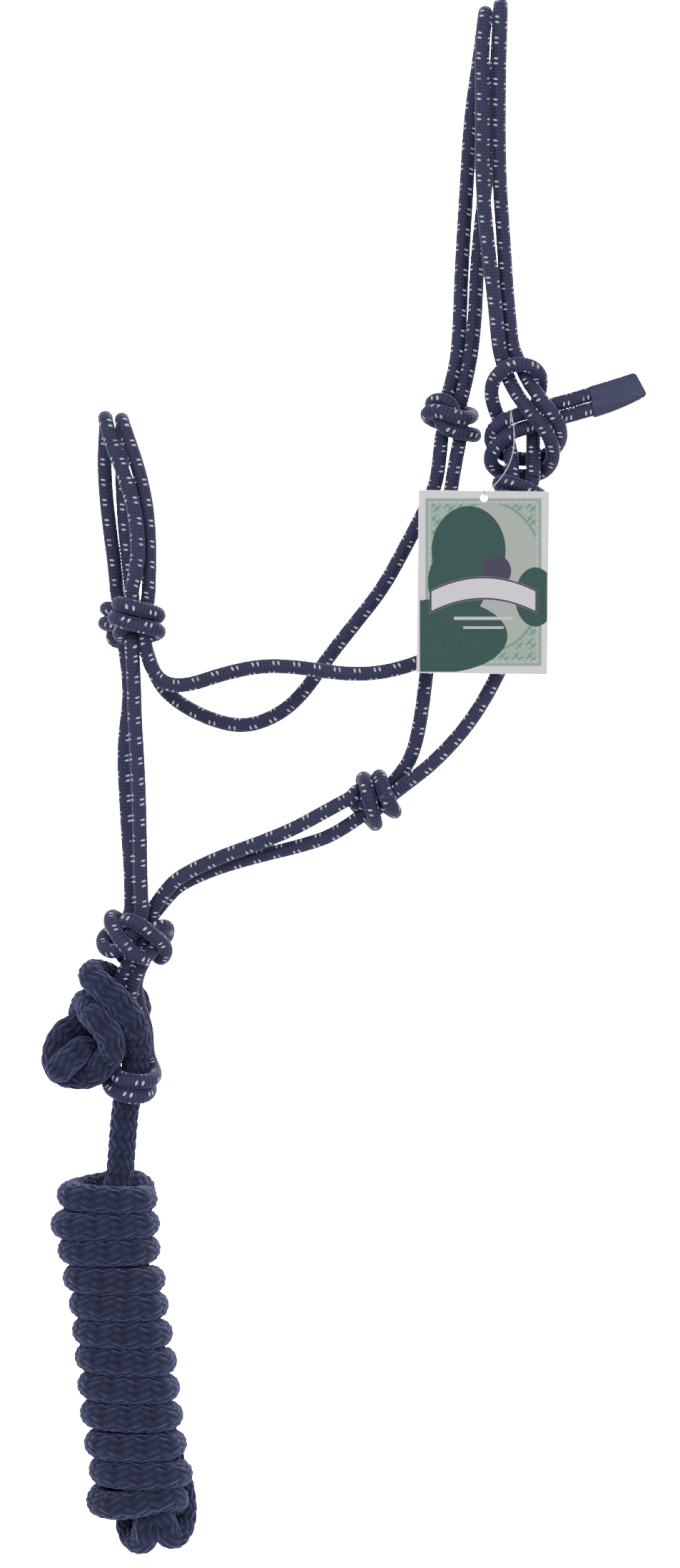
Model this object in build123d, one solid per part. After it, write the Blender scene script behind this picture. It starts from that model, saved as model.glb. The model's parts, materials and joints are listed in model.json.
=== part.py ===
"""Rope halter with a tied-on lead rope, as it hangs from the fold of its crown.

Units are millimetres. +Z is up, +X points from the noseband to the crown tail, and -Y is the near side.
The origin is the inside of the crown's fold, where a peg or a hook holds the halter.
"""
import math
import os

from build123d import *

# Driving dimensions
ROPE = 8.0  # halter rope diameter
LEAD = 14.8  # lead rope diameter
STRING = 0.8  # tag string diameter
TAG_SIZE = (70.4, 98.5, 0.6)  # card width, height and thickness
TAG_HOLE = 4.0  # diameter of the punched hole
TAG_HOLE_DROP = 3.9  # from the card's top edge to the middle of its hole
TAG_TILT = 0.7  # degrees that the card leans
WRAP_PITCH = 7.6  # distance between a knot's wraps
ARC_SHARE = 0.45  # part of the shorter run that an arc may use

# Where the bodies turn
NOSE_PIVOT = Vector(-197, 0, -328)
TAIL_PIVOT = Vector(35, -7, -212.4)
LEAD_PIVOT = Vector(-200.8, 1, -595)
HANK_PIVOT = Vector(-203.7, 1, -621)
TAG_PIVOT = Vector(-6, -32, -261.3)

# Knots of the halter rope: middle, direction of the strands through it, radius over the wraps, wraps
NOSE_KNOT_RADIUS = 16.5
KNOTS = {
    "off_cheek_knot": ((-21.5, 10, -215.7), (0.05, 0, 1), 15.5, 3),
    "near_cheek_knot": ((15.2, -9, -261.7), (-0.1, 0, 1), 15.5, 3),
    "near_nose_knot": ((NOSE_PIVOT.X, -17, NOSE_PIVOT.Z), (0, 1, 0), NOSE_KNOT_RADIUS, 3),
    "off_nose_knot": ((NOSE_PIVOT.X, 17, NOSE_PIVOT.Z), (0, 1, 0), NOSE_KNOT_RADIUS, 3),
    "throat_knot": ((-65.5, 0, -423), (0.8, 0, 0.6), 15, 3),
    "fiador_knot": ((-195, 0, -500.5), (0, 0, 1), 19.5, 4),
}

# Routes of the halter rope, from knot to knot, along the middle of the rope
ROUTES = {
    "crown_left_rope": [
        (-25, 12, -204), (-20, 11, -188), (-18, 11, -166), (-17, 11, -134), (-14.5, 11, -94),
        (-12, 10, -50), (-7, 9.5, -17), (-4.3, 9, 5.5), (-4.3, -9, 5.5), (-6.5, -10, -16),
        (-6, -11, -50), (-6.5, -12, -88), (-3, -12.5, -126), (0.5, -12.5, -154), (2.5, -10, -175),
        (5, -5, -189), (12, -6, -205),
    ],
    "crown_right_rope": [
        (-17, 9, -204), (-12.5, 8, -187), (-9.5, 8, -160), (-8.5, 8, -130), (-5, 8, -97),
        (-0.5, 9, -58), (2.5, 9.5, -22), (4.1, 9.5, 10), (4.1, -9.5, 10), (3.2, -10, -14),
        (2.7, -9, -48), (3, -8, -84), (5.5, -7.5, -120), (7.5, -7, -152), (10, -6, -175),
        (15, -3, -190), (20, -6, -206),
    ],
    "off_cheek_rope": [
        (-28, 11, -226), (-29, 11, -237), (-31, 11, -251), (-37, 11, -265), (-47, 11, -284),
        (-60, 11, -308), (-76, 12, -328), (-91, 13, -347), (-104, 14, -366), (-118, 15, -378),
        (-137, 16, -384.5), (-158, 17, -379), (-176, 17, -368.5), (-186, 17, -356), (-190, 17, -342),
    ],
    "off_throat_rope": [
        (-18, 9, -227), (-20.5, 8, -240), (-23.5, 7.5, -258), (-28, 7, -290), (-33, 6, -325),
        (-36.5, 5, -357), (-39, 4, -377), (-42.5, 4, -395), (-47.5, 4, -406.5), (-55, 4, -415),
    ],
    "near_cheek_rope": [
        (-189, -17, -342), (-186.5, -17, -353), (-178.5, -17, -361.5), (-166, -16.5, -362), (-147, -16, -355.5),
        (-126, -15, -351), (-105, -14, -352), (-84, -13, -355.5), (-63, -12.5, -355.5), (-42, -12, -350),
        (-23, -11, -341), (-8, -10, -326), (4, -9.5, -307), (9.5, -9, -289), (11, -9, -273),
    ],
    "near_throat_rope": [
        (19, -9, -273), (19.5, -10, -291), (17, -10, -316), (8, -10, -344), (-5, -9, -370),
        (-18, -8, -388.5), (-33, -6, -404), (-45, -4, -413.5), (-55, -4, -421),
    ],
    "near_chin_rope": [
        (-196.5, -17, -342), (-195.5, -16, -358), (-195.2, -14.5, -378), (-194, -13, -399),
        (-193, -12, -420), (-192.5, -11, -443), (-192.3, -10, -465), (-191.6, -9, -484),
    ],
    "off_chin_rope": [
        (-202, 17, -341), (-200, 17, -354), (-199.5, 15, -370), (-201.5, 13, -386), (-202.3, 11, -402),
        (-201, 9.5, -425), (-199.5, 7, -448), (-198, 5, -467), (-198, 5, -484),
    ],
    "fiador_upper_rope": [
        (-79, -4, -423.5), (-91, -4, -430), (-109, -4, -440), (-129, -3, -448), (-150, -2, -455.5),
        (-168, -1, -464), (-178, 0, -471.5), (-186, 0, -484),
    ],
    "fiador_lower_rope": [
        (-73, 4, -433.5), (-86, 4, -443), (-104, 4, -449), (-129, 5, -455), (-150, 6, -461),
        (-167, 7.5, -468), (-177, 8, -475), (-186, 9, -487),
    ],
    "noseband_outer_rope": [
        (-196.3, -20, -309.5), (-193.5, -20.2, -297), (-193.2, -20.2, -284), (-195, -19.5, -266),
        (-201, -17, -247), (-207.5, -14, -231), (-211.8, -11, -215.5), (-211.8, 11, -215.5),
        (-213.2, 12.5, -236), (-212.5, 15, -256), (-210, 16.5, -278), (-207.5, 18, -297), (-206.5, 18.5, -310),
    ],
    "noseband_inner_rope": [
        (-187.6, -14, -310.5), (-187.2, -14, -296), (-187.3, -14.5, -280), (-189, -14.5, -262),
        (-193, -13.5, -245), (-198, -12, -230), (-202.8, -11, -216.5), (-202.8, 11, -216.5),
        (-203.6, 12.5, -237), (-203, 13.5, -256), (-201.7, 14.5, -278), (-199.3, 15, -297), (-198.2, 15, -310),
    ],
    "eye_loop_rope": [
        (10, -9, -249), (10, -9, -235), (2, -9, -216), (-2.5, -9, -202), (2, -11, -190),
        (15, -12, -186.5), (26, -10, -192), (25.5, -9, -207), (22, -9, -221), (22, -9, -235), (21, -9, -249),
    ],
    "fiador_neck_left_rope": [(-206, 4, -515), (-206.5, 6, -527), (-206, 9, -539), (-204.5, 12, -553), (-203, 13, -566)],
    "fiador_neck_right_rope": [(-194, 4, -515), (-194.5, 7, -527), (-194, 11, -539), (-193, 13, -553), (-192, 13, -566)],
}

# The crown hitch is a sheet bend: the crown's two ends go round the neck of the eye loop.
HITCH_MIDDLE = (17, -9, -226)
HITCH_RADII = (18, 13, 21)

# The crown's two cut ends and the sleeve on them
TAIL_SLOPE = 15.7  # degrees above +X
TAIL_START = 4.6  # first part of the tail, past its pivot
TAIL_LENGTH = 30.0
SLEEVE_START = 20.0
SLEEVE_LENGTH = 28.5
SLEEVE_THROAT = (17.2, 9.6)  # width and thickness where the rope goes in
SLEEVE_TIP = (13.8, 5.0)

# The lead rope: its hitch through the fiador loop, its stopper knot, its drop and its hank
LEAD_HITCH = [
    (-200, 1, -586.6), (-199, 1.5, -578), (-194.5, 2, -563), (-193.4, 0, -546), (-197, -11, -529.5),
    (-212, -14, -519), (-226, -6, -519.5), (-227, 5, -530), (-226, 5, -542),
]
STOPPER_MIDDLE = (-223.5, -7, -557)
STOPPER_RADII = (22, 18, 23)
LOOP_RING_RADIUS = 12.2
LOOP_RINGS = [(-196.5, 1.5, -574), (-197.5, 1.5, -582)]
# Cross sections of the hank: X and Z of the middle, half width and half depth
HANK_SECTIONS = [
    (-206, -629.2, 12, 11), (-210, -637, 25, 22), (-211, -653, 30, 27), (-205, -699, 28, 27),
    (-198, -757, 28.5, 27), (-193, -803, 30, 27), (-187, -824, 24, 22), (-183, -837, 12, 12),
]

# Tag string, from the eye loop to the card
STRING_ROUTE = [
    (9.2, -23.8, -213.5), (10.9, -25.5, -225), (10.2, -27.5, -236.5), (6, -29.5, -247), (-1, -31.3, -255.4),
]


def corner_radii(points):
    """The radius of each corner: ARC_SHARE of the shorter run, divided by the tangent of half the turn."""
    radii = []
    for before, corner, after in zip(points, points[1:], points[2:]):
        into = Vector(*corner) - Vector(*before)
        out = Vector(*after) - Vector(*corner)
        half_turn = math.radians(into.get_angle(out)) / 2
        radii.append(ARC_SHARE * min(into.length, out.length) / math.tan(half_turn))
    return radii


def tube(name, points, diameter):
    """A round rope along straight runs joined by tangent arcs, and a line that says how it came out."""
    radii = corner_radii(points)
    path = FilletPolyline(*points, radius=radii)
    solid = sweep(Plane(origin=path @ 0, z_dir=path % 0) * Circle(diameter / 2), path=path)
    expected = math.pi * diameter**2 / 4 * path.length
    print(
        f"{name}: length {path.length:.0f}, radii {min(radii):.1f} to {max(radii):.0f}, "
        f"volume {solid.volume / expected:.4f} of section times length"
    )
    return solid


def wrapped_knot(middle, axis, radius, wraps):
    """A knot's outer shape: a stack of rope wraps on a filled core, narrower at its two ends."""
    along = (wraps - 1) / 2
    body = Cylinder(radius - ROPE / 2, 2 * along * WRAP_PITCH)
    for turn in range(wraps):
        offset = turn - along
        narrowing = 1.5 if abs(offset) == along else 0.0
        body += Pos(0, 0, offset * WRAP_PITCH) * Torus(radius - ROPE / 2 - narrowing, ROPE / 2)
    return Plane(origin=middle, z_dir=axis) * body


def ellipsoid(middle, radii):
    return Pos(*middle) * scale(Sphere(1), by=radii)


def tail_plane(distance):
    """The plane across the tail, this far from its pivot, with its X axis up across the two ropes."""
    slope = math.radians(TAIL_SLOPE)
    along = Vector(math.cos(slope), 0, math.sin(slope))
    across = Vector(-math.sin(slope), 0, math.cos(slope))
    return Plane(origin=TAIL_PIVOT + along * distance, x_dir=across, z_dir=along)


def tail_rope(side):
    """One cut end of the crown, on the upper (1) or lower (-1) side of the tail."""
    place = tail_plane(TAIL_START) * Pos(side * (ROPE + 0.1) / 2, 0, TAIL_LENGTH / 2)
    return place * Cylinder(ROPE / 2, TAIL_LENGTH)


def tail_sleeve(ropes):
    """A flat sleeve that is pressed onto both ends and closes past them."""
    profiles = []
    for distance, (width, depth) in (
        (SLEEVE_START, SLEEVE_THROAT),
        (SLEEVE_START + 0.55 * SLEEVE_LENGTH, SLEEVE_THROAT),
        (SLEEVE_START + SLEEVE_LENGTH, SLEEVE_TIP),
    ):
        profiles.append(tail_plane(distance) * RectangleRounded(width, depth, 0.48 * depth))
    sleeve = loft(profiles, ruled=True)
    for rope in ropes:
        sleeve -= rope
    return sleeve


def fiador_loop():
    """The end of the fiador loop, which goes twice round the lead rope."""
    rings = [Pos(*middle) * Torus(LOOP_RING_RADIUS, ROPE / 2) for middle in LOOP_RINGS]
    return rings[0] + rings[1]


def lead_drop():
    """The lead rope between the fiador loop and the hank, rounded at the two ends that it swings on."""
    path = Line(LEAD_PIVOT, HANK_PIVOT)
    rod = sweep(Plane(origin=path @ 0, z_dir=path % 0) * Circle(LEAD / 2), path=path)
    return rod + Pos(*LEAD_PIVOT) * Sphere(LEAD / 2) + Pos(*HANK_PIVOT) * Sphere(LEAD / 2)


def lead_hank():
    """The outer shape of the wrapped hank."""
    profiles = []
    for x, z, half_width, half_depth in HANK_SECTIONS:
        profiles.append(Plane(origin=(x, HANK_PIVOT.Y, z)) * Ellipse(half_width, half_depth))
    return loft(profiles, ruled=True)


def hang_tag():
    """The card, with its hole on the pivot."""
    width, height, thickness = TAG_SIZE
    card = Box(width, thickness, height) - Pos(0, 0, height / 2 - TAG_HOLE_DROP) * Rot(90, 0, 0) * Cylinder(
        TAG_HOLE / 2, 2 * thickness
    )
    hung = Pos(0, 0, TAG_HOLE_DROP - height / 2) * card
    return Pos(*TAG_PIVOT) * Rot(0, TAG_TILT, 0) * hung


def build():
    """Every node of the halter by name."""
    nodes = {name: wrapped_knot(*shape) for name, shape in KNOTS.items()}
    for name, points in ROUTES.items():
        nodes[name] = tube(name, points, ROPE)
    nodes["crown_hitch_knot"] = ellipsoid(HITCH_MIDDLE, HITCH_RADII)
    nodes["tail_upper_rope"] = tail_rope(1)
    nodes["tail_lower_rope"] = tail_rope(-1)
    nodes["tail_sleeve"] = tail_sleeve([nodes["tail_upper_rope"], nodes["tail_lower_rope"]])
    nodes["fiador_loop_rope"] = fiador_loop()
    nodes["lead_hitch_rope"] = tube("lead_hitch_rope", LEAD_HITCH, LEAD)
    nodes["lead_stopper_knot"] = ellipsoid(STOPPER_MIDDLE, STOPPER_RADII)
    nodes["lead_drop_rope"] = lead_drop()
    nodes["lead_hank"] = lead_hank()
    nodes["tag_string"] = tube("tag_string", STRING_ROUTE, STRING)
    nodes["hang_tag"] = hang_tag()
    return nodes


def main():
    os.makedirs("parts", exist_ok=True)
    for name, shape in build().items():
        export_step(shape, f"parts/{name}.step")


main()
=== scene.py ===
import json
import math

import bpy
import numpy as np
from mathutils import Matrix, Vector

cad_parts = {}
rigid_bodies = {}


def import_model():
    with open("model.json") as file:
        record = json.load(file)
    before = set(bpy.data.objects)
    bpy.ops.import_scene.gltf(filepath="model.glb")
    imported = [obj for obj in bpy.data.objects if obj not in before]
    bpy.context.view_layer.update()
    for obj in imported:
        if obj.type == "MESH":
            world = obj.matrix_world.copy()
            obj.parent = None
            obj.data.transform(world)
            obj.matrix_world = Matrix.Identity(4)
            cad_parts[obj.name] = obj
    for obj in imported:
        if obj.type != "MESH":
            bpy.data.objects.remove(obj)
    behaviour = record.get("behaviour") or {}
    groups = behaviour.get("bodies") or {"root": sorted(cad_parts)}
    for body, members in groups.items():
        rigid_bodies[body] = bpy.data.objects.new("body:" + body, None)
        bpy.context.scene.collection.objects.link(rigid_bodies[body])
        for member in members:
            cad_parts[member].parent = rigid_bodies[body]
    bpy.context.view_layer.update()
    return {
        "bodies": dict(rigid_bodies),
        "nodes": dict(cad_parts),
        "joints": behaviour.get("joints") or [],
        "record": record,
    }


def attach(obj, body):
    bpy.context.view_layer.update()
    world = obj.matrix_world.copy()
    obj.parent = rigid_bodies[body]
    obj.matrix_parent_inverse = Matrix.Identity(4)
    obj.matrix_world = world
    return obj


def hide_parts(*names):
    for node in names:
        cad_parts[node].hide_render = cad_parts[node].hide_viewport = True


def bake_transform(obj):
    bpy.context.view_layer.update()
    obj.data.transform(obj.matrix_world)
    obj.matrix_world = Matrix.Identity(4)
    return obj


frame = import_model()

MM = 0.001
ROPE = 8.0 * MM  # halter rope diameter
LEAD = 14.8 * MM  # lead rope diameter
STRING = 0.8 * MM

# +Z is up, +X points from the noseband to the crown tail, and the camera looks along +Y.

# ------------------------------------------------ routes, in millimetres

# The halter rope from knot to knot: its points and its length
ROUTES = {
    "crown_left_rope": ([
        (-25, 12, -204), (-20, 11, -188), (-18, 11, -166), (-17, 11, -134), (-14.5, 11, -94),
        (-12, 10, -50), (-7, 9.5, -17), (-4.3, 9, 5.5), (-4.3, -9, 5.5), (-6.5, -10, -16), (-6, -11, -50),
        (-6.5, -12, -88), (-3, -12.5, -126), (0.5, -12.5, -154), (2.5, -10, -175),
    ], 400),
    "crown_right_rope": ([
        (-17, 9, -204), (-12.5, 8, -187), (-9.5, 8, -160), (-8.5, 8, -130), (-5, 8, -97), (-0.5, 9, -58),
        (2.5, 9.5, -22), (4.1, 9.5, 10), (4.1, -9.5, 10), (3.2, -10, -14), (2.7, -9, -48), (3, -8, -84),
        (5.5, -7.5, -120), (7.5, -7, -152), (10, -6, -175),
    ], 410),
    "off_cheek_rope": ([
        (-28, 11, -226), (-29, 11, -237), (-31, 11, -251), (-37, 11, -265), (-47, 11, -284),
        (-60, 11, -308), (-76, 12, -328), (-91, 13, -347), (-104, 14, -366), (-118, 15, -378),
        (-137, 16, -384.5), (-158, 17, -379), (-176, 17, -368.5), (-186, 17, -356), (-190, 17, -342),
    ], 270),
    "off_throat_rope": ([
        (-18, 9, -227), (-20.5, 8, -240), (-23.5, 7.5, -258), (-28, 7, -290), (-33, 6, -325),
        (-36.5, 5, -357), (-39, 4, -377), (-42.5, 4, -395), (-47.5, 4, -406.5), (-55, 4, -415),
    ], 194),
    "near_cheek_rope": ([
        (-189, -17, -342), (-186.5, -17, -353), (-178.5, -17, -361.5), (-166, -16.5, -362),
        (-147, -16, -355.5), (-126, -15, -351), (-105, -14, -352), (-84, -13, -355.5), (-63, -12.5, -355.5),
        (-42, -12, -350), (-23, -11, -341), (-8, -10, -326), (4, -9.5, -307), (9.5, -9, -289),
        (11, -9, -273),
    ], 255),
    "near_throat_rope": ([
        (19, -9, -273), (19.5, -10, -291), (17, -10, -316), (8, -10, -344), (-5, -9, -370),
        (-18, -8, -388.5), (-33, -6, -404), (-45, -4, -413.5), (-55, -4, -421),
    ], 174),
    "near_chin_rope": ([
        (-196.5, -17, -342), (-195.5, -16, -358), (-195.2, -14.5, -378), (-194, -13, -399),
        (-193, -12, -420), (-192.5, -11, -443), (-192.3, -10, -465), (-191.6, -9, -484),
    ], 142),
    "off_chin_rope": ([
        (-202, 17, -341), (-200, 17, -354), (-199.5, 15, -370), (-201.5, 13, -386), (-202.3, 11, -402),
        (-201, 9.5, -425), (-199.5, 7, -448), (-198, 5, -467), (-198, 5, -484),
    ], 144),
    "fiador_upper_rope": ([
        (-79, -4, -423.5), (-91, -4, -430), (-109, -4, -440), (-129, -3, -448), (-150, -2, -455.5),
        (-168, -1, -464), (-178, 0, -471.5), (-186, 0, -484),
    ], 125),
    "fiador_lower_rope": ([
        (-73, 4, -433.5), (-86, 4, -443), (-104, 4, -449), (-129, 5, -455), (-150, 6, -461),
        (-167, 7.5, -468), (-177, 8, -475), (-186, 9, -487),
    ], 127),
    "noseband_outer_rope": ([
        (-196.3, -20, -309.5), (-193.5, -20.2, -297), (-193.2, -20.2, -284), (-195, -19.5, -266),
        (-201, -17, -247), (-207.5, -14, -231), (-211.8, -11, -215.5), (-211.8, 11, -215.5),
        (-213.2, 12.5, -236), (-212.5, 15, -256), (-210, 16.5, -278), (-207.5, 18, -297),
        (-206.5, 18.5, -310),
    ], 205),
    "noseband_inner_rope": ([
        (-187.6, -14, -310.5), (-187.2, -14, -296), (-187.3, -14.5, -280), (-189, -14.5, -262),
        (-193, -13.5, -245), (-198, -12, -230), (-202.8, -11, -216.5), (-202.8, 11, -216.5),
        (-203.6, 12.5, -237), (-203, 13.5, -256), (-201.7, 14.5, -278), (-199.3, 15, -297),
        (-198.2, 15, -310),
    ], 202),
}


def metres(points):
    return np.array(points, float) * MM


# ------------------------------------------------ lines


def evenly(line, spacing):
    """The same line with points a fixed distance apart."""
    line = np.asarray(line, float)
    steps = np.linalg.norm(np.diff(line, axis=0), axis=1)
    along = np.concatenate([[0], np.cumsum(steps)])
    count = max(int(round(along[-1] / spacing)) + 1, 4)
    places = np.linspace(0, along[-1], count)
    return np.stack([np.interp(places, along, line[:, i]) for i in range(3)], 1)


def smooth_line(points, spacing):
    """Points along the NURBS spline of a route."""
    curve = bpy.data.curves.new("route", "CURVE")
    curve.dimensions = "3D"
    curve.resolution_u = 16
    spline = curve.splines.new("NURBS")
    spline.points.add(len(points) - 1)
    for control, point in zip(spline.points, points):
        control.co = (*point, 1)
    spline.order_u = 3
    spline.use_endpoint_u = True
    holder = bpy.data.objects.new("route", curve)
    mesh = bpy.data.meshes.new_from_object(holder)
    line = np.array([vertex.co[:] for vertex in mesh.vertices])
    bpy.data.objects.remove(holder)
    bpy.data.curves.remove(curve)
    bpy.data.meshes.remove(mesh)
    return evenly(line, spacing)


def line_length(line):
    return float(np.linalg.norm(np.diff(line, axis=0), axis=1).sum())


LAST_ROUNDS = 0.2  # share of the rounds in which ropes are drawn in less
LAST_PULL = 0.4  # and how much less
BENT = 1.5  # diameters along a rope within which its own points don't push each other apart
PUSH = 0.6


def pull_tight(lines, diameters, rounds, pull=0.3, pinned=2):
    """Draws ropes in until their thickness stops them. The pinned points at a line's ends stay put."""
    sizes = [len(line) for line in lines]
    ends = np.cumsum(sizes)
    starts = ends - sizes
    points = np.concatenate([np.array(line, float) for line in lines])
    owner = np.repeat(np.arange(len(lines)), sizes)
    radius = np.repeat(np.array(diameters) / 2, sizes)
    order = np.arange(len(points))
    free = np.ones(len(points), bool)
    for start, end in zip(starts, ends):
        free[start : start + pinned] = False
        free[end - pinned : end] = False
    need = radius[:, None] + radius[None, :]
    same = owner[:, None] == owner[None, :]
    apart = np.abs(order[:, None] - order[None, :])
    for step in range(rounds):
        # Each point is drawn towards the middle of its two neighbours
        strength = pull if step < (1 - LAST_ROUNDS) * rounds else LAST_PULL * pull
        middle = points.copy()
        middle[1:-1] = (points[:-2] + points[2:]) / 2
        points[free] += strength * (middle - points)[free]
        # Then points that are closer than the ropes are thick push each other apart
        beside = np.zeros(len(points))
        for start, end, diameter in zip(starts, ends, diameters):
            spacing = line_length(points[start:end]) / (end - start - 1)
            beside[start:end] = BENT * diameter / spacing
        counted = ~same | (apart > beside[:, None])
        gap = points[:, None] - points[None, :]
        distance = np.linalg.norm(gap, axis=2) + 1e-9
        short = np.where(counted, np.clip(need - distance, 0, None), 0)
        push = (gap / distance[..., None] * short[..., None]).sum(1)
        touching = np.maximum((short > 0).sum(1), 1)
        points[free] += (PUSH * push / touching[:, None])[free]
    return [points[start:end] for start, end in zip(starts, ends)]


def smoothed(line, rounds=2):
    """Takes the small kinks out of a line and keeps its ends."""
    line = line.copy()
    for _ in range(rounds):
        line[1:-1] = 0.5 * line[1:-1] + 0.25 * (line[:-2] + line[2:])
    return line


# ------------------------------------------------ rope meshes

ANY_WAY = (0.3, 1, 0.2)  # a direction that no rope starts along
CONE = 0.1  # height of a rope's closed end, in diameters
TIP = 0.96  # how far a rounded end is followed before it is closed


class Rope:
    """A rope's centre line, with the two directions across it and the length run at each point.
    first and last are directions across it that its ends must meet; offset is the length run at its start."""

    def __init__(self, line, first=None, last=None, offset=0.0):
        self.line = np.asarray(line, float)
        tangents = np.gradient(self.line, axis=0)
        self.tangents = tangents / np.linalg.norm(tangents, axis=1)[:, None]
        normal = np.cross(self.tangents[0], ANY_WAY) if first is None else np.array(first, float)
        normals = []
        for tangent in self.tangents:
            normal = normal - tangent * normal.dot(tangent)
            normal /= np.linalg.norm(normal)
            normals.append(normal)
        self.normals = np.array(normals)
        self.binormals = np.cross(self.tangents, self.normals)
        run = np.concatenate([[0], np.cumsum(np.linalg.norm(np.diff(self.line, axis=0), axis=1))])
        self.along = offset + run
        if last is not None:
            twist = math.atan2(self.binormals[-1].dot(last), self.normals[-1].dot(last))
            turn = (twist * run / run[-1])[:, None]
            normals = np.cos(turn) * self.normals + np.sin(turn) * self.binormals
            self.binormals = np.cross(self.tangents, normals)
            self.normals = normals

    def part(self, start, end):
        """The rope from one point to another, both kept, with the same rings."""
        piece = Rope.__new__(Rope)
        for key, value in vars(self).items():
            setattr(piece, key, value[start : end + 1])
        return piece

    def length(self):
        return float(self.along[-1] - self.along[0])


def add_piece(name, mesh, material, body=None, nodes=()):
    piece = bpy.data.objects.new(name, mesh)
    bpy.context.scene.collection.objects.link(piece)
    mesh.materials.append(material)
    if nodes:
        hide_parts(*nodes)
    if body:
        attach(piece, body)
    return piece


def rope_mesh(name, ropes, diameter, around, relief, rounded=0.0):
    """Ropes as one mesh, with their starts rounded off over a given length, and with flat-shaded ends.
    Its UV map holds turns round the rope and metres along it."""
    vertices, faces, coordinates, smooth = [], [], [], []
    place = np.arange(around)
    after = (place + 1) % around
    turns = place / around
    angle = 2 * math.pi * turns
    total = 0
    for rope in ropes:
        count = len(rope.line)
        radius = diameter / 2 + relief(turns[None, :], rope.along[:, None])
        if rounded:
            short = np.clip(1 - (rope.along - rope.along[0]) / rounded, 0, TIP)[:, None]
            radius = radius * np.sqrt(1 - short**2)
        ring = np.cos(angle)[None, :, None] * rope.normals[:, None]
        ring = ring + np.sin(angle)[None, :, None] * rope.binormals[:, None]
        vertices.append((rope.line[:, None] + radius[..., None] * ring).reshape(-1, 3))

        row = total + around * np.arange(count - 1)[:, None]
        sides = np.stack([row + place, row + after, row + around + after, row + around + place], 2)
        faces += sides.reshape(-1, 4).tolist()
        smooth += [True] * (around * (count - 1)) + [False] * (2 * around)
        low, high, here, there = np.broadcast_arrays(
            turns, (place + 1) / around, rope.along[:-1, None], rope.along[1:, None]
        )
        u = np.stack([low, high, high, low], 2)
        v = np.stack([here, here, there, there], 2)
        coordinates.append(np.stack([u, v], 3).reshape(-1, 2))

        first, last = total, total + around * (count - 1)
        total += around * count
        ends = ((first, 0, -1, after, place), (last, -1, 1, place, after))
        for corner, index, outwards, one, other in ends:
            tip = rope.line[index] + rope.tangents[index] * diameter * CONE * outwards
            vertices.append(tip[None])
            faces += np.stack([corner + one, corner + other, np.full(around, total)], 1).tolist()
            coordinates.append(np.repeat([[0.5, rope.along[index]]], 3 * around, 0))
            total += 1
    mesh = bpy.data.meshes.new(name)
    mesh.from_pydata(np.concatenate(vertices).tolist(), [], faces)
    layer = mesh.uv_layers.new(name="rope")
    layer.data.foreach_set("uv", np.concatenate(coordinates).ravel())
    mesh.polygons.foreach_set("use_smooth", smooth)
    mesh.update()
    return mesh


SHEATH_LOOPS = 8  # diamonds of the halter rope's sheath round the rope
SHEATH_STEP = 1.9  # millimetres from one diamond to the next along it
SHEATH_HEIGHT = 0.1 * MM


def sheath_relief(turns, along):
    """The small diamonds of the halter rope's tight sheath."""
    around = 2 * math.pi * SHEATH_LOOPS * turns
    run = along * math.pi / (SHEATH_STEP * MM)
    return SHEATH_HEIGHT * np.sin(around + run) * np.sin(around - run)


# ------------------------------------------------ shader arithmetic


class Number:
    """A number worked out by shader nodes, written with ordinary operators."""

    def __init__(self, tree, socket):
        self.tree = tree
        self.socket = socket

    def _math(self, operation, *others):
        node = self.tree.nodes.new("ShaderNodeMath")
        node.operation = operation
        for slot, value in zip(node.inputs, (self, *others)):
            if isinstance(value, Number):
                self.tree.links.new(value.socket, slot)
            else:
                slot.default_value = value
        return Number(self.tree, node.outputs[0])

    def __add__(self, other):
        return self._math("ADD", other)

    def __sub__(self, other):
        return self._math("SUBTRACT", other)

    def __mul__(self, other):
        return self._math("MULTIPLY", other)

    def __truediv__(self, other):
        return self._math("DIVIDE", other)

    def __rsub__(self, other):
        return (self * -1) + other

    def fraction(self):
        return self._math("FRACT")

    def floor(self):
        return self._math("FLOOR")

    def size(self):
        return self._math("ABSOLUTE")

    def sine(self):
        return self._math("SINE")

    def power(self, exponent):
        return self._math("POWER", exponent)

    def most(self, other):
        return self._math("MAXIMUM", other)

    def step(self, low, high):
        """0 below low, 1 above high, smooth between; the other way round where low is above high."""
        node = self.tree.nodes.new("ShaderNodeMapRange")
        node.interpolation_type = "SMOOTHSTEP"
        self.tree.links.new(self.socket, node.inputs["Value"])
        node.inputs["From Min"].default_value = min(low, high)
        node.inputs["From Max"].default_value = max(low, high)
        node.inputs["To Min"].default_value = 0.0 if low < high else 1.0
        node.inputs["To Max"].default_value = 1.0 if low < high else 0.0
        return Number(self.tree, node.outputs["Result"])


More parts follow.
